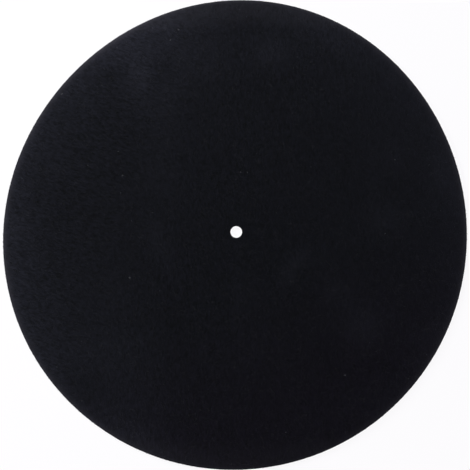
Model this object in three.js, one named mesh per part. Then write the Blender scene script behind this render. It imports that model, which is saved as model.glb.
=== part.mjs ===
// A round felt mat that lies on a record player's platter, with the record on top of it.
// Millimetres, +Z up. The origin is on the axis of the spindle hole, at the underside of the felt.
import * as THREE from "three";

// Driving dimensions
const matDiameter = 295; // across the cut outline, a little under a 12 inch record
const feltThickness = 3; // pressed felt, lying free
const spindleHoleDiameter = 7.6; // drops over a 7.2 mm spindle with 0.2 mm to spare all round

// The punch drags the fibres down with it, so each upper edge is rounder than the lower one
const outlineTopRound = 0.7;
const outlineBottomRound = 0.4;
const holeTopRound = 0.45;
const holeBottomRound = 0.25;
const mostOfThickness = 0.45; // the share of the thickness that one edge can round away

// How finely the round shapes are cut into flats
const flatsAround = 180; // round the mat and round the hole
const flatsPerEdge = 3; // over each rounded edge

const quarterTurn = Math.PI / 2;

function edgeRadius(wanted) {
  return Math.min(wanted, feltThickness * mostOfThickness);
}

// The points of a quarter round, as radius from the mat's axis and height above the underside
function quarterRound(centreRadius, centreHeight, edge, startAngle) {
  const points = [];
  for (let i = 0; i <= flatsPerEdge; i += 1) {
    const angle = startAngle + (quarterTurn * i) / flatsPerEdge;
    const radius = centreRadius + edge * Math.cos(angle);
    const height = centreHeight + edge * Math.sin(angle);
    points.push(new THREE.Vector2(radius, height));
  }
  return points;
}

// The felt's section on one side of the axis: up the outline, in over the top, and down the hole
function feltSection() {
  const outer = matDiameter / 2;
  const inner = spindleHoleDiameter / 2;
  const outlineTop = edgeRadius(outlineTopRound);
  const outlineBottom = edgeRadius(outlineBottomRound);
  const holeTop = edgeRadius(holeTopRound);
  const holeBottom = edgeRadius(holeBottomRound);
  const section = [
    ...quarterRound(outer - outlineBottom, outlineBottom, outlineBottom, -quarterTurn),
    ...quarterRound(outer - outlineTop, feltThickness - outlineTop, outlineTop, 0),
    ...quarterRound(inner + holeTop, feltThickness - holeTop, holeTop, quarterTurn),
    ...quarterRound(inner + holeBottom, holeBottom, holeBottom, 2 * quarterTurn),
  ];
  section.push(section[0].clone());
  return section;
}

function makeFeltMat() {
  const disc = new THREE.LatheGeometry(feltSection(), flatsAround);
  disc.rotateX(quarterTurn); // a lathe turns about Y, and the mat's axis is Z
  const blackFelt = new THREE.MeshStandardMaterial({
    color: 0x16171b,
    roughness: 0.95,
    metalness: 0,
  });
  const mat = new THREE.Mesh(disc, blackFelt);
  mat.name = "felt_mat";
  return mat;
}

const platterMat = new THREE.Group();
platterMat.add(makeFeltMat());

export default platterMat;
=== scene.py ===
import math

import bpy
import numpy as np
from mathutils import Matrix, Vector, noise
from mathutils.geometry import delaunay_2d_cdt


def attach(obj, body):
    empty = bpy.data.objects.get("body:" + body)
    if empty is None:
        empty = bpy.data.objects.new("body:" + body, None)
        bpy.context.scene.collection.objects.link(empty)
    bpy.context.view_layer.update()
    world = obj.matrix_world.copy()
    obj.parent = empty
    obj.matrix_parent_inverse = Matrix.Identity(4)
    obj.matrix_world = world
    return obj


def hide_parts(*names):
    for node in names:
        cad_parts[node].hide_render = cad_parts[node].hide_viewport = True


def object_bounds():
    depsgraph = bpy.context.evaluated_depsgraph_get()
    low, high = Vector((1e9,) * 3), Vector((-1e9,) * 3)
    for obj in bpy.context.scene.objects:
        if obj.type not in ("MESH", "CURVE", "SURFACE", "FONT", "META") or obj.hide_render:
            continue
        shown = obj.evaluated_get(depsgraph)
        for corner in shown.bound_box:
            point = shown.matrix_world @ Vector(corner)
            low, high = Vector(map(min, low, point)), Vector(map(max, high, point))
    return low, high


# A black felt mat for a record player's platter, lying on a white ground and seen from above.
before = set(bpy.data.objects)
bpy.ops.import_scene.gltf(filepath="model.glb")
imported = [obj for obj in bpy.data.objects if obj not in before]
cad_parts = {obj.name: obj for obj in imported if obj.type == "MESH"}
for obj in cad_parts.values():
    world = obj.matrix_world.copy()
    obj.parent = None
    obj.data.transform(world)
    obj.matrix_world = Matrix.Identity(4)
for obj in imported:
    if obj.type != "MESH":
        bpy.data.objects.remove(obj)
cadLow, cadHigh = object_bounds()

mm = 0.001  # the scene is in metres, and the sizes below are in millimetres
matRadius = (cadHigh.x - cadLow.x) / 2 / mm
thickness = cadHigh.z / mm
cadPoints = np.array([v.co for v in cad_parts["felt_mat"].data.vertices])
holeRadius = np.hypot(cadPoints[:, 0], cadPoints[:, 1]).min() / mm
print(f"frame: mat {2 * matRadius:.1f} mm across, hole {2 * holeRadius:.2f}, felt {thickness:.1f}")


# Helpers for colours, nodes and meshes

# A Mix node has inputs and a result for each kind of value under one name, so these go by number
vectorA, vectorB, vectorMix = 4, 5, 1
colourA, colourB, colourMix = 6, 7, 2


def linearColour(hexColour):  # sRGB hex to linear, with a full alpha
    parts = [int(hexColour[i:i + 2], 16) / 255 for i in (1, 3, 5)]
    return [c / 12.92 if c <= 0.04045 else ((c + 0.055) / 1.055) ** 2.4 for c in parts] + [1.0]


def addNode(tree, kind, inputs=None, **settings):  # an input is a value or another node's socket
    node = tree.nodes.new(kind)
    for name, value in settings.items():
        setattr(node, name, value)
    for name, value in (inputs or {}).items():
        if isinstance(value, bpy.types.NodeSocket):
            tree.links.new(value, node.inputs[name])
        else:
            node.inputs[name].default_value = value
    return node


def newMaterial(name):
    material = bpy.data.materials.new(name)
    material.use_nodes = True
    material.node_tree.nodes.clear()
    return material, material.node_tree


def meshPiece(name, pointsMm, faces, cornerMap, material):
    # cornerMap has a place on the texture sheet for each face corner, in the faces' own order
    mesh = bpy.data.meshes.new(name)
    mesh.from_pydata((pointsMm * mm).tolist(), [], faces)
    mesh.uv_layers.new(name="OFBake").data.foreach_set("uv", cornerMap.astype(np.float32).ravel())
    mesh.polygons.foreach_set("use_smooth", [True] * len(mesh.polygons))
    mesh.materials.append(material)
    mesh.validate()
    piece = bpy.data.objects.new(name, mesh)
    bpy.context.scene.collection.objects.link(piece)
    return piece


def pointValues(piece, name, values):
    attribute = piece.data.attributes.new(name, "FLOAT", "POINT")
    attribute.data.foreach_set("value", np.asarray(values, np.float32))


# Camera: nearly straight above, leaning a little to the bottom left of the picture

camera = {
    "lensMm": 58.22,
    "distance": 0.48,  # metres from the felt's upper face
    "leanDownDeg": 3.215,
    "leanLeftDeg": 0.433,
    "aimMm": (-0.81, -2.0),  # the point of the mat in the middle of the picture
    "nearest": 0.01, "furthest": 50.0,  # how near and how far it sees, in metres
}


def makeCamera():
    back = Vector((-math.sin(math.radians(camera["leanLeftDeg"])),
                   -math.sin(math.radians(camera["leanDownDeg"])), 0.0))
    back.z = math.sqrt(1 - back.length_squared)
    right = Vector((0, 1, 0)).cross(back).normalized()
    up = back.cross(right)
    aim = Vector((camera["aimMm"][0], camera["aimMm"][1], thickness)) * mm
    data = bpy.data.cameras.new("camera above the mat")
    data.lens = camera["lensMm"]
    data.clip_start, data.clip_end = camera["nearest"], camera["furthest"]
    viewer = bpy.data.objects.new("camera above the mat", data)
    turned = Matrix((right, up, back)).transposed().to_4x4()
    viewer.matrix_world = Matrix.Translation(aim + back * camera["distance"]) @ turned
    bpy.context.scene.collection.objects.link(viewer)
    bpy.context.scene.camera = viewer


makeCamera()
print("camera placed")


# The felt: one pressed disc with a soft relief, cut a little out of round

felt = {
    "stretchMm": 1.63, "stretchTowardsDeg": 65.0,  # longer towards the upper right
    "threeCornerMm": 0.70, "threeCornerTowardsDeg": 78.2,
    "fourCornerMm": 0.14, "fourCornerTowardsDeg": -9.5,
    "raggedMm": 0.05, "raggedLengthMm": 1.4,  # how the punch leaves the cut wall
    "wavesMm": 0.45, "waveLengthMm": 85.0,  # how far the rim of a limp mat lifts off the ground
    "unevenness": (  # height and length across in millimetres, and which slice of the noise
        (0.050, 12.0, 7.7),  # thick and thin places in the felt
        (0.045, 4.0, 1.3),  # clumps of fibre
    ),
    "undersideMm": 0.05, "undersideLengthMm": 9.0, "undersideSliceMm": 60.0,
    "topSpacingMm": 1.25, "undersideSpacingMm": 2.7,
    "rowShare": 0.866, "asideShare": 0.22,  # of the spacing: between rows, and how far points stray
    "rimPoints": 1800, "holePoints": 72,
    "rimRings": ((0.6, 1200), (1.5, 900)),  # more rings inside the rim: how far in, and their points
    "holeRings": ((0.5, 54),),  # the same round the hole
    "rimClearShare": 0.75, "holeClearMm": 1.3,  # between the rings and the scattered points
    "rimTopRoundMm": 0.70, "rimBottomRoundMm": 0.40,
    "holeTopRoundMm": 0.45, "holeBottomRoundMm": 0.25,
    "roundSteps": 4, "wallSteps": 4,
    "seed": 11,
}


def outlineRadius(angle):  # the cut outline's distance from the hole's axis, towards an angle
    radius = matRadius
    for corners, size, towards in ((2, "stretchMm", "stretchTowardsDeg"),
                                   (3, "threeCornerMm", "threeCornerTowardsDeg"),
                                   (4, "fourCornerMm", "fourCornerTowardsDeg")):
        radius = radius + felt[size] * np.cos(corners * (angle - math.radians(felt[towards])))
    return radius


def outOfRound(x, y):  # a point of a true disc, moved to where it lies on this mat
    reach = np.hypot(x, y)
    stretch = 1 + (outlineRadius(np.arctan2(y, x)) / matRadius - 1) * reach / matRadius
    return x * stretch, y * stretch


def noiseValues(x, y, z, length):
    return np.array([noise.noise(Vector(p)) for p in zip(x / length, y / length, z / length)])


def liftedBy(x, y):  # the mat rests on the ground round the hole and lifts a little outwards
    wave = 1 + noiseValues(x, y, np.zeros(len(x)), felt["waveLengthMm"])
    return felt["wavesMm"] / 2 * wave * (np.hypot(x, y) / matRadius) ** 2


def undersideHeight(x, y):
    slices = np.full(len(x), felt["undersideSliceMm"])
    grain = 1 + noiseValues(x, y, slices, felt["undersideLengthMm"])
    return liftedBy(x, y) + felt["undersideMm"] / 2 * grain


def topHeight(x, y):
    height = thickness + liftedBy(x, y)
    for size, length, noiseSlice in felt["unevenness"]:
        height += size * noiseValues(x, y, np.full(len(x), noiseSlice * length), length)
    return height


def ringPoints(radius, count):
    angle = np.arange(count) * 2 * np.pi / count
    return np.c_[radius * np.cos(angle), radius * np.sin(angle)]


def scatteredPoints(spacing, inner, outer, randomiser):
    # rows of a triangle pattern, each point pushed aside a little so that no rows show
    rows = np.arange(-math.ceil(outer / spacing) - 2, math.ceil(outer / spacing) + 3)
    column, row = np.meshgrid(rows * spacing, rows)
    points = np.c_[(column + row % 2 * spacing / 2).ravel(), (row * spacing * felt["rowShare"]).ravel()]
    points += randomiser.uniform(-felt["asideShare"], felt["asideShare"], points.shape) * spacing
    reach = np.hypot(points[:, 0], points[:, 1])
    return points[(reach > inner) & (reach < outer)]


def flatSkin(spacing, rimInset, holeInset, randomiser):
    # a face of the disc as points and triangles: first the rim's ring, then the hole's ring
    rim, hole = matRadius - rimInset, holeRadius + holeInset
    rings = [ringPoints(rim, felt["rimPoints"]), ringPoints(hole, felt["holePoints"])]
    rings += [ringPoints(rim - inwards, count) for inwards, count in felt["rimRings"]]
    rings += [ringPoints(hole + outwards, count) for outwards, count in felt["holeRings"]]
    furthest = rim - felt["rimRings"][-1][0] - spacing * felt["rimClearShare"]
    rings.append(scatteredPoints(spacing, hole + felt["holeClearMm"], furthest, randomiser))
    points = np.concatenate(rings)
    closeness = 1e-7  # points nearer than this would be joined
    triangles = np.array(delaunay_2d_cdt([Vector(p) for p in points], [], [], 0, closeness)[2])
    firstOfHole, pastHole = felt["rimPoints"], felt["rimPoints"] + felt["holePoints"]
    acrossHole = ((triangles >= firstOfHole) & (triangles < pastHole)).all(axis=1)
    return points, triangles[~acrossHole]


def edgeProfile(topRound, bottomRound):
    # from just below the upper face to just above the underside: outward reach and height
    profile = []
    quarter = np.linspace(0, np.pi / 2, felt["roundSteps"] + 1)
    for turn in quarter[1:]:
        profile.append((topRound * (math.sin(turn) - 1), thickness - topRound * (1 - math.cos(turn))))
    for height in np.linspace(thickness - topRound, bottomRound, felt["wallSteps"] + 1)[1:]:
        profile.append((0.0, height))
    for turn in quarter[1:-1]:
        profile.append((bottomRound * (math.cos(turn) - 1), bottomRound * (1 - math.sin(turn))))
    return profile


# Where each surface of the felt lies on the texture sheet, as shares of its side
sheetPlaces = {
    "topMiddle": (0.39, 0.39), "topReach": 0.38,
    "undersideMiddle": (0.885, 0.885), "undersideReach": 0.105,
    "rimLeft": 0.79, "rimBottom": 0.02, "rimWidth": 0.03, "rimHeight": 0.74,
    "rimStep": 0.04, "rimStrips": 4,  # the rim's wall is cut into strips that lie side by side
    "holeLeft": 0.05, "holeBottom": 0.80, "holeWidth": 0.4, "holeHeight": 0.03,
}


def wallPlaces(name, spots, count, steps):  # a spot is which point of the ring, and which ring
    places = sheetPlaces
    if name == "hole":
        return [(places["holeLeft"] + places["holeWidth"] * i / count,
                 places["holeBottom"] + places["holeHeight"] * s / steps) for i, s in spots]
    perStrip = count // places["rimStrips"]
    strip = min(min(i for i, s in spots) // perStrip, places["rimStrips"] - 1)
    left = places["rimLeft"] + strip * places["rimStep"]
    return [(left + places["rimWidth"] * s / steps,
             places["rimBottom"] + places["rimHeight"] * (i - strip * perStrip) / perStrip)
            for i, s in spots]


def cutWall(name, radius, outward, lowest, highest):
    # rings of points down the wall of the rim or the hole, between the heights of the two faces
    angle = np.arange(len(lowest)) * 2 * np.pi / len(lowest)
    rings = []
    for reach, height in edgeProfile(felt[name + "TopRoundMm"], felt[name + "BottomRoundMm"]):
        x, y = outOfRound((radius + outward * reach) * np.cos(angle),
                          (radius + outward * reach) * np.sin(angle))
        level = lowest + (highest - lowest) * height / thickness
        push = felt["raggedMm"] * noiseValues(x, y, np.full(len(x), height), felt["raggedLengthMm"])
        rings.append(np.c_[x + push * np.cos(angle), y + push * np.sin(angle), level])
    return rings


def buildFelt(material):
    randomiser = np.random.default_rng(felt["seed"])
    top, topFaces = flatSkin(felt["topSpacingMm"], felt["rimTopRoundMm"],
                             felt["holeTopRoundMm"], randomiser)
    under, underFaces = flatSkin(felt["undersideSpacingMm"], felt["rimBottomRoundMm"],
                                 felt["holeBottomRoundMm"], randomiser)
    underFaces = underFaces[:, ::-1]  # wound the other way, because they face down
    topX, topY = outOfRound(top[:, 0], top[:, 1])
    underX, underY = outOfRound(under[:, 0], under[:, 1])
    topLevel, underLevel = topHeight(topX, topY), undersideHeight(underX, underY)
    points = [np.c_[topX, topY, topLevel], np.c_[underX, underY, underLevel]]
    faces = topFaces.tolist() + (underFaces + len(top)).tolist()
    corners = []
    for flat, skin, place in ((top, topFaces, "top"), (under, underFaces, "underside")):
        middle, reach = sheetPlaces[place + "Middle"], sheetPlaces[place + "Reach"]
        corners.append((flat[skin] / matRadius * reach + middle).reshape(-1, 2))

    rimRing = np.arange(felt["rimPoints"])
    holeRing = felt["rimPoints"] + np.arange(felt["holePoints"])
    for name, radius, outward, upper in (("rim", matRadius, 1, rimRing),
                                         ("hole", holeRadius, -1, holeRing)):
        count = len(upper)
        rows = [upper]
        for ring in cutWall(name, radius, outward, underLevel[upper], topLevel[upper]):
            rows.append(sum(map(len, points)) + np.arange(count))  # the numbers of its points
            points.append(ring)
        rows.append(upper + len(top))
        steps = len(rows) - 1
        for step in range(steps):
            for i in range(count):
                j = (i + 1) % count
                quad = [rows[step][i], rows[step + 1][i], rows[step + 1][j], rows[step][j]]
                spots = [(i, step), (i, step + 1), (i + 1, step + 1), (i + 1, step)]
                faces.append([int(p) for p in quad[::outward]])  # the hole's wall faces inwards
                corners.append(np.array(wallPlaces(name, spots[::outward], count, steps)))
    return meshPiece("pressedFelt", np.concatenate(points), faces, np.concatenate(corners), material)


# Paler where the nap stands up and darker (below zero) where it lies pressed, for wear and as painted
# sheen; the first and widest mark is a painted shade over the middle of the mat. Each gives its
# middle, half length, half width, the way it runs in degrees, and how strongly it shows
napAndSheenMarks = (
    ((0, 0), 95, 95, 0, -0.23), ((-62, 101), 13, 6, 97, 1.2), ((-43, 130), 16, 9, 40, 0.7),
    ((-46, 84), 15, 9, 70, 0.6), ((21, 115), 12, 9, 0, 1.0), ((-81, 100), 10, 8, 50, -0.75),
    ((-90, 68), 30, 22, 60, -0.2), ((6, 135), 9, 6, 60, -0.5), ((-26, 112), 30, 20, 0, 0.5),
    ((-42, 60), 12, 10, 60, 0.4), ((95, 48), 13, 11, 0, 0.5),
    ((131, 38), 13, 7, 80, 0.8), ((95, 7), 12, 10, 10, 0.8), ((87, 25), 9, 6, 90, 0.35),
    ((41, -16), 9, 4.5, 33, 0.8), ((32, -28), 10, 4.5, 63, 0.8), ((63, -39), 9, 9, 0, 0.55),
    ((80, -59), 13, 13, 0, 1.0), ((-50, -5), 12, 9, 100, 0.6), ((-42, -21), 10, 5, 115, 0.3),
    ((-137, 2), 9, 8, 90, 0.5), ((-136, -31), 13, 6, 100, 0.15), ((-130, 55), 10, 5, 70, 0.4),
    ((-77, -40), 16, 14, 0, 0.3), ((-84, -72), 24, 11, 0, 0.4), ((-96, -98), 17, 11, 135, -0.6),
    ((1, -37), 26, 4, 92, 0.4), ((19, -72), 10, 8, 0, 0.25), ((121, -31), 18, 10, 90, -0.25),
    ((-60, -129), 14, 7, -25, 0.8), ((127, -61), 10, 6, 60, 0.4), ((-38, -56), 20, 14, 90, -0.2),
    ((-48, 36), 18, 11, 100, 0.35), ((56, -80), 12, 10, 0, -0.2), ((-68, -95), 36, 22, 100, 0.35),
    ((-112, 10), 22, 16, 80, -0.25), ((-115, 66), 25, 12, 55, -0.3), ((96, -78), 18, 14, 45, -0.25),
    ((-46, 102), 12, 6, 80, -0.5), ((60, 125), 18, 5, -25, 0.5), ((2, -18), 22, 16, 0, -0.22),
    ((38, -46), 20, 14, 60, -0.2), ((-66, 86), 12, 10, 100, 0.35), ((138, 20), 12, 5, 95, 0.45),
)

napAndSheenLook = {
    "markShow": 0.13,
    # painted sheen and glare inside the rim, in a wide band and a narrow one: how much of each
    # shows, how far in, and its share on the far side
    "wideShow": 0.28, "wideReachMm": 20.5, "wideFarSide": 0.14,
    "narrowShow": 1.10, "narrowReachMm": 1.2, "narrowFarSide": 0.47,
    "shoulderMm": 1.2,  # the narrow band fades out to nothing over this much at the cut
    "towardsDeg": 115.0, "sidePower": 0.43,  # both are strongest on this side, towards the lamp at the upper left
    # here the painted sheen is stronger, or weaker below zero: bearing and half width in degrees, and
    # how much more there is of the wide band and of the narrow one
    "rimPatches": ((120, 11, 0.9, 0.6), (88, 9, -0.55, 0.05), (213, 30, 0.4, -0.1),
                   (168, 9, -0.25, -0.1), (274, 20, -0.85, -0.3)),
}


def rimSheen(x, y, kind):  # how much of the wide or narrow band of painted sheen shows, and the depth inside the rim
    angle = np.arctan2(y, x)
    depth = np.maximum(outlineRadius(angle) - np.hypot(x, y), 0)
    facing = (1 + np.cos(angle - math.radians(napAndSheenLook["towardsDeg"]))) / 2
    farSide = napAndSheenLook[kind + "FarSide"]
    side = farSide + (1 - farSide) * facing ** napAndSheenLook["sidePower"]
    handled = np.ones(len(x))
    for bearing, halfWidth, moreWide, moreNarrow in napAndSheenLook["rimPatches"]:
        apart = (np.degrees(angle) - bearing + 180) % 360 - 180
        more = moreWide if kind == "wide" else moreNarrow
        handled += more * np.exp(-(apart / halfWidth) ** 2)
    bloom = side * handled * np.exp(-depth / napAndSheenLook[kind + "ReachMm"])
    return napAndSheenLook[kind + "Show"] * bloom, depth


def napAndSheen(x, y):  # 0 for felt as pressed, 1 for nap that stands right up, and below 0 for flat; it also holds the painted sheen at the rim and the painted shade over the middle
    shown = np.zeros(len(x))
    for (middleX, middleY), halfLength, halfWidth, towards, strength in napAndSheenMarks:
        turn = math.radians(towards)
        along = (x - middleX) * math.cos(turn) + (y - middleY) * math.sin(turn)
        across = (y - middleY) * math.cos(turn) - (x - middleX) * math.sin(turn)
        shown += strength * np.exp(-(along / halfLength) ** 2 - (across / halfWidth) ** 2)
    bloom, _ = rimSheen(x, y, "wide")
    return napAndSheenLook["markShow"] * shown + bloom


def edgeSheen(x, y):  # the same for the narrow, greyer band of painted sheen and glare along the cut edge
    bloom, depth = rimSheen(x, y, "narrow")
    return bloom * np.minimum(depth / napAndSheenLook["shoulderMm"], 1)


# Black pressed wool felt: dyed fibres matted by heat and rollers. It gives no highlight at all,
# only a mottled near black with a blue cast and a faint bloom where the fibres stand up, which is
# partly painted sheen; inside its rim lie a painted sheen and glare, and over its middle a painted
# shade.
# Its fibres are 0.03 mm thick, too fine to show, so they are drawn as strokes of a small bundle.
woolFelt = {
    # the paler colour is for standing nap and for painted sheen, and the edge colour is painted sheen
    # and glare along the cut
    "black": "#0A0B0D", "clump": "#15161C", "paleNapAndSheen": "#2B2C35", "edge": "#3A393F",
    "clumpMm": 1.8,
    "strokeMm": (0.7, 3.4),  # across and along
    "strokeTurns": (3, 66, -50),  # in degrees: up and down the photograph, sloping and crossing
    "swirlMm": 4.0, "swirlShare": 0.0025,  # how often and how much the strokes bend
    "strokeShare": 0.62,  # of crossed strokes, against clumps
    "laidShare": 0.65,  # of strokes that lie one way, against crossed ones and clumps
    "grainRange": (0.391, 0.665), "grainMiddle": 0.517,  # of the noise, from black to clump
    # a way over the mat, and where along it a change starts and ends, as shares of its radius
    "smoothWay": (0.94, -0.33, 0), "uprightSpan": (-0.6, -0.2),
    "smoothSpan": (-0.55, 0.45), "smoothGrain": 0.58,
    "plumWay": (0.4, -0.9, 0), "plumSpan": (0.25, 0.75), "plumBy": "#FFECFC",
    "cloudMm": 42.0, "cloudRange": (0.3, 0.7), "cloudShow": 0.01,  # soft patches between the marks
    "flattestNapAndShade": -0.3,  # nap pressed, and painted shade, as low as this is black
    "tuftRange": (0.6, 1.4),  # how unevenly standing nap and painted sheen follow the grain
    "roughness": 1.0, "specular": 0.03, "sheen": 0.05, "sheenRoughness": 0.45,
    "bumpMm": 0.16,
}


def fadeOver(tree, place, way, span, ends=(0.0, 1.0)):  # from one end value to the other over the mat
    along = addNode(tree, "ShaderNodeVectorMath", {0: place, 1: way}, operation="DOT_PRODUCT")
    fade = addNode(tree, "ShaderNodeMapRange", {
        "Value": along.outputs["Value"], "From Min": span[0] * matRadius * mm,
        "From Max": span[1] * matRadius * mm, "To Min": ends[0], "To Max": ends[1]})
    return fade.outputs[0]


def feltGrain(tree, place):
    look = woolFelt
    clumps = addNode(tree, "ShaderNodeTexNoise", {
        "Vector": place, "Scale": 1 / (look["clumpMm"] * mm), "Detail": 2.0, "Roughness": 0.6})
    swirl = addNode(tree, "ShaderNodeTexNoise", {
        "Vector": place, "Scale": 1 / (look["swirlMm"] * mm), "Detail": 1.0})
    swirled = addNode(tree, "ShaderNodeMix", {
        "Factor": look["swirlShare"], vectorA: place, vectorB: swirl.outputs["Color"]},
        data_type="VECTOR")
    strokes = []
    across, along = look["strokeMm"]
    for turn in look["strokeTurns"]:
        run = addNode(tree, "ShaderNodeMapping", {
            "Vector": swirled.outputs[vectorMix], "Rotation": (0, 0, math.radians(turn)),
            "Scale": (across * mm, along * mm, mm)}, vector_type="TEXTURE")
        stroke = addNode(tree, "ShaderNodeTexNoise", {
            "Vector": run.outputs[0], "Scale": 1.0, "Detail": 1.0})
        strokes.append(stroke.outputs[0])
    upDown, sloping, crossing = strokes
    two = addNode(tree, "ShaderNodeMath", {0: upDown, 1: sloping}, operation="MAXIMUM")
    matted = addNode(tree, "ShaderNodeMath", {0: two.outputs[0], 1: crossing}, operation="MAXIMUM")
    crossed = addNode(tree, "ShaderNodeMix", {
        "Factor": look["strokeShare"], "A": clumps.outputs[0], "B": matted.outputs[0]})

    # the uppermost fibres lie up and down the photograph, and slope at its upper left
    upright = fadeOver(tree, place, look["smoothWay"], look["uprightSpan"])
    laid = addNode(tree, "ShaderNodeMix", {"Factor": upright, "A": sloping, "B": upDown})
    both = addNode(tree, "ShaderNodeMix", {
        "Factor": look["laidShare"], "A": crossed.outputs[0], "B": laid.outputs[0]})

    # towards the right the nap lies smoother, and less of the grain shows
    rough = fadeOver(tree, place, look["smoothWay"], look["smoothSpan"], (1.0, look["smoothGrain"]))
    grain = addNode(tree, "ShaderNodeMix", {
        "Factor": rough, "A": look["grainMiddle"], "B": both.outputs[0]})
    return grain.outputs[0]


def feltColour(tree, place, grain):
    look = woolFelt
    least, most = look["grainRange"]
    paler = addNode(tree, "ShaderNodeMapRange", {
        "Value": grain, "From Min": least, "From Max": most, "To Min": 0.0, "To Max": 1.0})
    body = addNode(tree, "ShaderNodeMix", {
        "Factor": paler.outputs[0], colourA: linearColour(look["black"]),
        colourB: linearColour(look["clump"])}, data_type="RGBA")

    # the colour turns a little darker and towards plum at the bottom and the lower right
    plumShare = fadeOver(tree, place, look["plumWay"], look["plumSpan"])
    dyed = addNode(tree, "ShaderNodeMix", {
        "Factor": plumShare, colourA: body.outputs[colourMix], colourB: linearColour(look["plumBy"])},
        data_type="RGBA", blend_type="MULTIPLY")

    # nap that lies pressed is darker, and nap that stands up is paler; the same values also carry
    # the painted sheen and glare inside the rim and the painted shade over the middle
    cloudy = addNode(tree, "ShaderNodeTexNoise", {
        "Vector": place, "Scale": 1 / (look["cloudMm"] * mm), "Detail": 3.0, "Roughness": 0.55})
    thin, thick = look["cloudRange"]
    clouds = addNode(tree, "ShaderNodeMapRange", {
        "Value": cloudy.outputs[0], "From Min": thin, "From Max": thick,
        "To Min": -look["cloudShow"], "To Max": look["cloudShow"]})
    paleNapAndSheen = addNode(tree, "ShaderNodeAttribute", attribute_name="napAndSheen")
    napSheenAndCloud = addNode(tree, "ShaderNodeMath", {0: paleNapAndSheen.outputs["Fac"], 1: clouds.outputs[0]},
                     operation="ADD")
    pressed = addNode(tree, "ShaderNodeMapRange", {
        "Value": napSheenAndCloud.outputs[0], "From Min": look["flattestNapAndShade"], "From Max": 0.0,
        "To Min": 1.0, "To Max": 0.0})
    darker = addNode(tree, "ShaderNodeMix", {
        "Factor": pressed.outputs[0], colourA: dyed.outputs[colourMix], colourB: (0, 0, 0, 1)},
        data_type="RGBA")
    sparse, dense = look["tuftRange"]
    uneven = addNode(tree, "ShaderNodeMapRange", {
        "Value": grain, "From Min": least, "From Max": most, "To Min": sparse, "To Max": dense})
    tufts = addNode(tree, "ShaderNodeMath", {0: napSheenAndCloud.outputs[0], 1: uneven.outputs[0]},
                    operation="MULTIPLY")
    bloomed = addNode(tree, "ShaderNodeMix", {
        "Factor": tufts.outputs[0], colourA: darker.outputs[colourMix],
        colourB: linearColour(look["paleNapAndSheen"])}, data_type="RGBA", clamp_factor=True)
    # a narrow band of painted sheen and glare along the cut edge, greyer than the rest
    edge = addNode(tree, "ShaderNodeAttribute", attribute_name="edgeSheen")
    colour = addNode(tree, "ShaderNodeMix", {
        "Factor": edge.outputs["Fac"], colourA: bloomed.outputs[colourMix],
        colourB: linearColour(look["edge"])}, data_type="RGBA")
    return colour.outputs[colourMix]


def feltMaterial():
    material, tree = newMaterial("black pressed wool felt")
    look = woolFelt
    place = addNode(tree, "ShaderNodeTexCoord").outputs["Object"]
    grain = feltGrain(tree, place)
    bump = addNode(tree, "ShaderNodeBump", {
        "Height": grain, "Strength": 1.0, "Distance": look["bumpMm"] * mm})
    surface = addNode(tree, "ShaderNodeBsdfPrincipled", {
        "Base Color": feltColour(tree, place, grain), "Roughness": look["roughness"],
        "Specular IOR Level": look["specular"], "Sheen Weight": look["sheen"],
        "Sheen Roughness": look["sheenRoughness"], "Normal": bump.outputs[0]})
    addNode(tree, "ShaderNodeOutputMaterial", {"Surface": surface.outputs[0]})
    return material


pressedFelt = buildFelt(feltMaterial())
feltPoints = np.array([v.co for v in pressedFelt.data.vertices]) / mm
pointValues(pressedFelt, "napAndSheen", napAndSheen(feltPoints[:, 0], feltPoints[:, 1]))
pointValues(pressedFelt, "edgeSheen", edgeSheen(feltPoints[:, 0], feltPoints[:, 1]))
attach(pressedFelt, "root")
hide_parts("felt_mat")
print(f"felt: {len(feltPoints)} points, {len(pressedFelt.data.polygons)} faces")


# Loose fibres: each is a closed three-sided strand that tapers to a point at both ends

strands = {
    "edgesDeg": (90, 210, 330),  # where a strand's three edges lie round it
    "taperPower": 0.4,
    "cellMargin": 0.2,  # each strand has its own cell of the texture sheet, and keeps off its sides
}


def strandShape(stations):
    # one strand's triangles, and how far along and how far round each of their corners is
    triangles, spots = [], []
    tip = 1 + 3 * (stations - 2)
    last = tip - 3
    for side in range(3):
        after = (side + 1) % 3
        triangles.append((0, 1 + after, 1 + side))
        spots.append(((0, side + 0.5), (1, side + 1), (1, side)))
        triangles.append((tip, last + side, last + after))
        spots.append(((stations - 1, side + 0.5), (stations - 2, side), (stations - 2, side + 1)))
        for ring in range(1, stations - 2):
            here, there = 3 * ring - 2, 3 * ring + 1
            triangles.append((here + side, here + after, there + after))
            spots.append(((ring, side), (ring, side + 1), (ring + 1, side + 1)))
            triangles.append((here + side, there + after, there + side))
            spots.append(((ring, side), (ring + 1, side + 1), (ring + 1, side)))
    return np.array(triangles), np.array(spots, float) / (stations - 1, 3)


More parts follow.
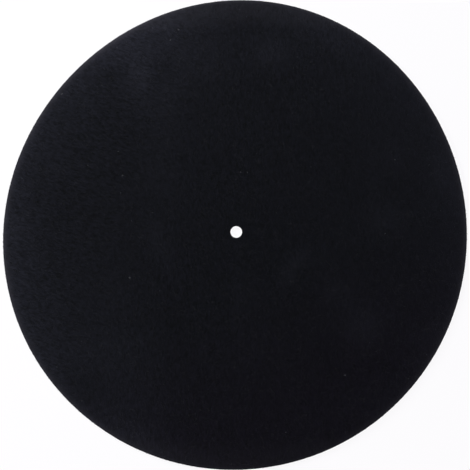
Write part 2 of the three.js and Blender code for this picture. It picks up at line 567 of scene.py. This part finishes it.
def strandPiece(name, paths, halfThickness, tones, material):
    # paths is strands by stations by x, y, z; the first and last stations are the pointed tips
    count, stations = paths.shape[:2]
    along = np.gradient(paths, axis=1)
    along /= np.linalg.norm(along, axis=2, keepdims=True)
    across = np.cross((0, 0, 1), along)
    shortest = 1e-6  # so that a strand that stands straight up isn't divided by nothing
    across /= np.maximum(np.linalg.norm(across, axis=2, keepdims=True), shortest)
    over = np.cross(along, across)
    taper = np.sin(np.linspace(0, np.pi, stations))[None, :, None] ** strands["taperPower"]
    edges = []
    for turn in strands["edgesDeg"]:
        out = across * math.cos(math.radians(turn)) + over * math.sin(math.radians(turn))
        edges.append(paths + out * halfThickness[:, None, None] * taper)
    rings = np.stack(edges, axis=2)[:, 1:-1].reshape(count, -1, 3)
    points = np.concatenate([paths[:, :1], rings, paths[:, -1:]], axis=1)
    perStrand = points.shape[1]

    triangles, spots = strandShape(stations)
    faces = (triangles[None] + np.arange(count)[:, None, None] * perStrand).reshape(-1, 3)
    margin = strands["cellMargin"]
    cell = spots * (1 - 2 * margin) + margin
    cellsAcross = math.ceil(math.sqrt(count))
    corner = np.c_[np.arange(count) % cellsAcross, np.arange(count) // cellsAcross]
    cornerMap = (cell[None] + corner[:, None, None]).reshape(-1, 2) / cellsAcross
    piece = meshPiece(name, points.reshape(-1, 3), faces.tolist(), cornerMap, material)
    pointValues(piece, "tone", np.repeat(tones, perStrand))
    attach(piece, "root")
    return piece


napFibres = {
    "pieces": 3, "each": 9000,
    "triedShare": 1.15, "pastRimMm": 1.0,  # more are tried, and further out, than fit on the felt
    "lengthMm": (2.6, 6.5),
    "halfThicknessMm": (0.022, 0.040),  # about twice a real fibre's, so that they show
    "curlPerMm": 0.22,  # how far a fibre turns in each millimetre, in radians
    "liftMm": (0.02, 0.12), "looseShare": 0.05, "looseLiftMm": (0.2, 0.5),
    "endsBelowMm": 0.03, "stations": 5,
    "clearOfRimMm": 0.15, "clearOfHoleMm": 0.4, "seed": 21,
}


def napPaths(randomiser):
    look = napFibres
    tries = int(look["each"] * look["triedShare"])
    reach = (matRadius + look["pastRimMm"]) * np.sqrt(randomiser.uniform(0, 1, tries))
    bearing = randomiser.uniform(0, 2 * np.pi, tries)
    length = randomiser.uniform(*look["lengthMm"], tries)
    heading = randomiser.uniform(0, 2 * np.pi, tries)
    curl = randomiser.normal(0, look["curlPerMm"], tries)
    loose = randomiser.uniform(0, 1, tries) < look["looseShare"]
    lift = np.where(loose, randomiser.uniform(*look["looseLiftMm"], tries),
                    randomiser.uniform(*look["liftMm"], tries))
    share = np.linspace(-0.5, 0.5, look["stations"])
    turn = heading[:, None] + curl[:, None] * length[:, None] * share[None] / 2
    x = (reach * np.cos(bearing))[:, None] + share[None] * length[:, None] * np.cos(turn)
    y = (reach * np.sin(bearing))[:, None] + share[None] * length[:, None] * np.sin(turn)
    furthest = (np.hypot(x, y) - outlineRadius(np.arctan2(y, x))).max(axis=1)
    nearest = np.hypot(x, y).min(axis=1) - holeRadius
    fits = (furthest < -look["clearOfRimMm"]) & (nearest > look["clearOfHoleMm"])
    kept = np.flatnonzero(fits)[:look["each"]]
    x, y, lift = x[kept], y[kept], lift[kept]
    surface = topHeight(x.ravel(), y.ravel()).reshape(x.shape) - look["endsBelowMm"]
    arch = (lift[:, None] + look["endsBelowMm"]) * (1 - (2 * share[None]) ** 2)
    return np.stack([x, y, surface + arch], axis=2)


rimFringe = {
    "rimFibres": 5200, "holeFibres": 260,
    "lengthMm": (0.7, 2.4), "reachMm": (0.05, 0.22),  # along the cut, and out of it
    "longShare": 0.04, "longReachMm": (0.3, 0.7),  # a few stand out further
    "holeReachShare": 0.7,  # they are shorter in the hole
    "halfThicknessMm": (0.018, 0.032), "rootMm": 0.12,  # each starts inside the felt
    "heightMm": (0.4, 2.7), "riseMm": 0.6,  # where a fibre leaves the cut wall, and how far it climbs
    "loopedShare": 0.6,  # these have both ends in the felt, the rest have one free
    "stations": 5, "seed": 31,
}


def holeOutline(angle):
    return np.full(len(angle), holeRadius)


def fringePaths(randomiser, count, outline, outward, reachShare):
    look = rimFringe
    bearing = randomiser.uniform(0, 2 * np.pi, count)
    reach = np.where(randomiser.uniform(0, 1, count) < look["longShare"],
                     randomiser.uniform(*look["longReachMm"], count),
                     randomiser.uniform(*look["reachMm"], count)) * reachShare
    length = randomiser.uniform(*look["lengthMm"], count) * reachShare
    height = randomiser.uniform(*look["heightMm"], count)
    rise = randomiser.uniform(-look["riseMm"], look["riseMm"], count)
    looped = randomiser.uniform(0, 1, count) < look["loopedShare"]
    share = np.linspace(0, 1, look["stations"])[None]
    out = np.where(looped[:, None], np.sin(np.pi * share), share) * (reach[:, None] + look["rootMm"])
    radius = outline(bearing)
    sideways = length * randomiser.choice([-1, 1], count) / radius
    turn = bearing[:, None] + (share - 0.5) * sideways[:, None]
    rounded = np.maximum(height - (thickness - felt["rimTopRoundMm"]), 0)
    shoulder = rounded ** 2 / (2 * felt["rimTopRoundMm"])  # how far in the rounded edge lies there
    distance = radius[:, None] + outward * (out - look["rootMm"] - shoulder[:, None])
    lift = liftedBy(radius * np.cos(bearing), radius * np.sin(bearing))
    z = (lift + height)[:, None] + rise[:, None] * (share - 0.5)
    return np.stack([distance * np.cos(turn), distance * np.sin(turn), z], axis=2)


# Loose wool fibres, dyed with the felt: fine matt hairs, a few of them paler where dye is thin
woolFibre = {
    "darkest": "#0D0E11", "palest": "#363641",
    "roughness": 0.95, "specular": 0.05, "sheen": 0.05, "sheenRoughness": 0.4,
    "alongMm": 1.2, "alongShow": 0.4,  # how often and how much a fibre's colour changes along it
    "ownTone": 0.5,  # how pale the palest one on pressed felt is
}

# Cotton lint and dust: undyed short fibres that show as pale specks
cottonLint = {
    "darkest": "#4A4A50", "palest": "#A8A8AC",
    "roughness": 0.9, "specular": 0.2, "sheen": 0.1, "sheenRoughness": 0.4,
    "alongMm": 0.8, "alongShow": 0.4,
}


def fibreMaterial(name, look):
    material, tree = newMaterial(name)
    tone = addNode(tree, "ShaderNodeAttribute", attribute_name="tone")
    place = addNode(tree, "ShaderNodeTexCoord").outputs["Object"]
    change = addNode(tree, "ShaderNodeTexNoise", {
        "Vector": place, "Scale": 1 / (look["alongMm"] * mm), "Detail": 1.0})
    mixed = addNode(tree, "ShaderNodeMath", {
        0: change.outputs[0], 1: look["alongShow"], 2: tone.outputs["Fac"]}, operation="MULTIPLY_ADD")
    shifted = addNode(tree, "ShaderNodeMath", {0: mixed.outputs[0], 1: look["alongShow"] / 2},
                      operation="SUBTRACT", use_clamp=True)
    colour = addNode(tree, "ShaderNodeMix", {
        "Factor": shifted.outputs[0], colourA: linearColour(look["darkest"]),
        colourB: linearColour(look["palest"])}, data_type="RGBA")
    surface = addNode(tree, "ShaderNodeBsdfPrincipled", {
        "Base Color": colour.outputs[colourMix], "Roughness": look["roughness"],
        "Specular IOR Level": look["specular"], "Sheen Weight": look["sheen"],
        "Sheen Roughness": look["sheenRoughness"]})
    addNode(tree, "ShaderNodeOutputMaterial", {"Surface": surface.outputs[0]})
    return material


def fibreTones(randomiser, places):  # most are as dark as the felt, and paler where its nap stands up and where the felt has painted sheen and glare
    own = woolFibre["ownTone"] * randomiser.uniform(0, 1, len(places)) ** 2
    x, y = places[:, 0], places[:, 1]
    return own + np.maximum(napAndSheen(x, y), 0) + edgeSheen(x, y)


dyedFibre = fibreMaterial("dyed wool fibre", woolFibre)
napRandom = np.random.default_rng(napFibres["seed"])
for number in range(1, napFibres["pieces"] + 1):
    paths = napPaths(napRandom)
    tones = fibreTones(napRandom, paths[:, paths.shape[1] // 2])
    halfThickness = napRandom.uniform(*napFibres["halfThicknessMm"], len(paths))
    fibres = strandPiece(f"napFibres{number}", paths, halfThickness, tones, dyedFibre)
    print(f"{fibres.name}: {len(paths)} fibres")

fringeRandom = np.random.default_rng(rimFringe["seed"])
fringe = np.concatenate([
    fringePaths(fringeRandom, rimFringe["rimFibres"], outlineRadius, 1, 1.0),
    fringePaths(fringeRandom, rimFringe["holeFibres"], holeOutline, -1, rimFringe["holeReachShare"]),
])
fringeThickness = fringeRandom.uniform(*rimFringe["halfThicknessMm"], len(fringe))
cutFringe = strandPiece("cutEdgeFringe", fringe, fringeThickness,
                        fibreTones(fringeRandom, fringe[:, 0]), dyedFibre)
print(f"cutEdgeFringe: {len(fringe)} fibres")


# Lint: small tangles of pale fibre where the photograph shows specks, and fainter ones between
lint = {
    "tangles": (  # place in millimetres from the hole, and how many times lengthMm its fibres are
        (-37, 130, 1.6), (-42, 123, 1.5), (-76, 118, 0.6), (-111, 88, 0.8), (-75, 51, 0.9),
        (-72, 36, 1.2), (-73, 25, 0.6), (-94, 42, 0.6), (3, 38, 1.1), (7, 38, 0.5), (-53, 12, 0.7),
        (-66, 7, 0.7), (-67, -29, 1.4), (-112, -85, 0.5), (130, 56, 0.5), (101, 46, 0.7),
        (94, -1, 0.6), (119, -77, 0.6), (108, -92, 0.5), (68, -90, 0.7), (31, -125, 0.9),
    ),
    "fibresEach": 5, "scatterMm": 0.2, "lengthMm": (0.5, 1.3),
    "faintOnes": 90, "faintLengthMm": (0.3, 0.8),
    "faintWithin": 0.97, "bareMiddle": 0.01,  # of the radius, and of the area round the hole
    "halfThicknessMm": (0.021, 0.034),  # thicker than real lint, so that it shows
    "curlPerMm": 1.6, "liftMm": (0.08, 0.28),
    "toneRange": (0.2, 1.0), "endsBelowMm": 0.02, "stations": 6, "seed": 41,
}


def lintPaths(randomiser):
    places = []
    for x, y, size in lint["tangles"]:
        for _ in range(lint["fibresEach"]):
            places.append((x + randomiser.normal(0, lint["scatterMm"]),
                           y + randomiser.normal(0, lint["scatterMm"]),
                           size * randomiser.uniform(*lint["lengthMm"])))
    for _ in range(lint["faintOnes"]):
        reach = lint["faintWithin"] * matRadius * math.sqrt(randomiser.uniform(lint["bareMiddle"], 1))
        bearing = randomiser.uniform(0, 2 * math.pi)
        places.append((reach * math.cos(bearing), reach * math.sin(bearing),
                       randomiser.uniform(*lint["faintLengthMm"])))
    places = np.array(places)
    count = len(places)
    share = np.linspace(-0.5, 0.5, lint["stations"])[None]
    length = places[:, 2:]
    curl = randomiser.normal(0, lint["curlPerMm"], (count, 1))
    turn = randomiser.uniform(0, 2 * np.pi, (count, 1)) + curl * length * share
    x = places[:, :1] + share * length * np.cos(turn)
    y = places[:, 1:2] + share * length * np.sin(turn)
    lift = randomiser.uniform(*lint["liftMm"], (count, 1))
    surface = topHeight(x.ravel(), y.ravel()).reshape(x.shape) - lint["endsBelowMm"]
    arch = (lift + lint["endsBelowMm"]) * (1 - (2 * share) ** 2)
    return np.stack([x, y, surface + arch], axis=2)


lintRandom = np.random.default_rng(lint["seed"])
lintLines = lintPaths(lintRandom)
lintThickness = lintRandom.uniform(*lint["halfThicknessMm"], len(lintLines))
lintTones = lintRandom.uniform(*lint["toneRange"], len(lintLines))
lintSpecks = strandPiece("lintSpecks", lintLines, lintThickness, lintTones,
                         fibreMaterial("undyed cotton lint", cottonLint))
print(f"lint: {len(lintLines)} fibres")


# White ground, lamps and surroundings

ground = {
    "radius": 12.0, "below": 0.0001,  # metres
    "edges": 96,
    "litColour": "#F4F4F6", "glowColour": "#FEFDFF",
    "glow": 0.945, "litShare": 0.06,  # how much of the white is always there, and how much is lit
    "farGlow": 0.995,  # how much is always there out past the lamp's light
    "nearReach": 0.3, "farReach": 3.0,  # metres over which the one turns into the other
}


def seenDirectly(tree):  # 1 for the camera, and for what a shiny or clear surface shows of the white
    ray = addNode(tree, "ShaderNodeLightPath").outputs
    shiny = addNode(tree, "ShaderNodeMath", {
        0: ray["Is Camera Ray"], 1: ray["Is Glossy Ray"]}, operation="MAXIMUM")
    clear = addNode(tree, "ShaderNodeMath", {
        0: shiny.outputs[0], 1: ray["Is Transmission Ray"]}, operation="MAXIMUM")
    return clear.outputs[0]


def groundMaterial():
    # matt white paper: even white with no grain, on which a thin mat throws hardly any shadow
    material, tree = newMaterial("matt white paper")
    share = ground["litShare"]
    lit = addNode(tree, "ShaderNodeBsdfDiffuse", {"Color": linearColour(ground["litColour"])})
    partLit = addNode(tree, "ShaderNodeBsdfDiffuse", {"Color": (share, share, share, 1.0)})
    place = addNode(tree, "ShaderNodeTexCoord").outputs["Object"]
    distance = addNode(tree, "ShaderNodeVectorMath", {0: place}, operation="LENGTH")
    strength = addNode(tree, "ShaderNodeMapRange", {
        "Value": distance.outputs["Value"], "From Min": ground["nearReach"],
        "From Max": ground["farReach"], "To Min": ground["glow"], "To Max": ground["farGlow"]},
        interpolation_type="SMOOTHSTEP")
    glow = addNode(tree, "ShaderNodeEmission", {
        "Color": linearColour(ground["glowColour"]), "Strength": strength.outputs[0]})
    white = addNode(tree, "ShaderNodeAddShader", {0: partLit.outputs[0], 1: glow.outputs[0]})
    both = addNode(tree, "ShaderNodeMixShader", {
        0: seenDirectly(tree), 1: lit.outputs[0], 2: white.outputs[0]})
    addNode(tree, "ShaderNodeOutputMaterial", {"Surface": both.outputs[0]})
    return material


def makeGround():
    mesh = bpy.data.meshes.new("whiteGround")
    turn = np.arange(ground["edges"]) * 2 * np.pi / ground["edges"]
    rim = np.c_[ground["radius"] * np.cos(turn), ground["radius"] * np.sin(turn),
                np.full(len(turn), -ground["below"])]
    mesh.from_pydata(rim.tolist(), [], [tuple(range(len(turn)))])
    mesh.materials.append(groundMaterial())
    sheet = bpy.data.objects.new("whiteGround", mesh)
    bpy.context.scene.collection.objects.link(sheet)


lighting = {
    "lampPlace": (-0.536, 0.335, 0.45), "lampSize": 0.45,  # metres
    "lampWatts": 8.4, "lampColour": "#FFFFFF",
    "skyStrength": 0.215, "skyColour": "#F4F6FF",
}


def makeLights():
    lamp = bpy.data.lights.new("soft lamp, upper left", "AREA")
    lamp.shape, lamp.size = "DISK", lighting["lampSize"]
    lamp.energy = lighting["lampWatts"]
    lamp.color = linearColour(lighting["lampColour"])[:3]
    holder = bpy.data.objects.new("soft lamp, upper left", lamp)
    holder.location = lighting["lampPlace"]
    holder.rotation_euler = (-holder.location).to_track_quat("-Z", "Y").to_euler()
    bpy.context.scene.collection.objects.link(holder)

    world = bpy.data.worlds.new("plain bright room")
    world.use_nodes = True
    tree = world.node_tree
    tree.nodes.clear()
    sky = addNode(tree, "ShaderNodeBackground", {
        "Color": linearColour(lighting["skyColour"]), "Strength": lighting["skyStrength"]})
    white = addNode(tree, "ShaderNodeBackground", {"Color": (1, 1, 1, 1), "Strength": 1.0})
    both = addNode(tree, "ShaderNodeMixShader", {
        0: seenDirectly(tree), 1: sky.outputs[0], 2: white.outputs[0]})
    addNode(tree, "ShaderNodeOutputWorld", {"Surface": both.outputs[0]})
    bpy.context.scene.world = world


makeGround()
makeLights()
bpy.context.scene.view_settings.view_transform = "Standard"
print("ground and lights placed")
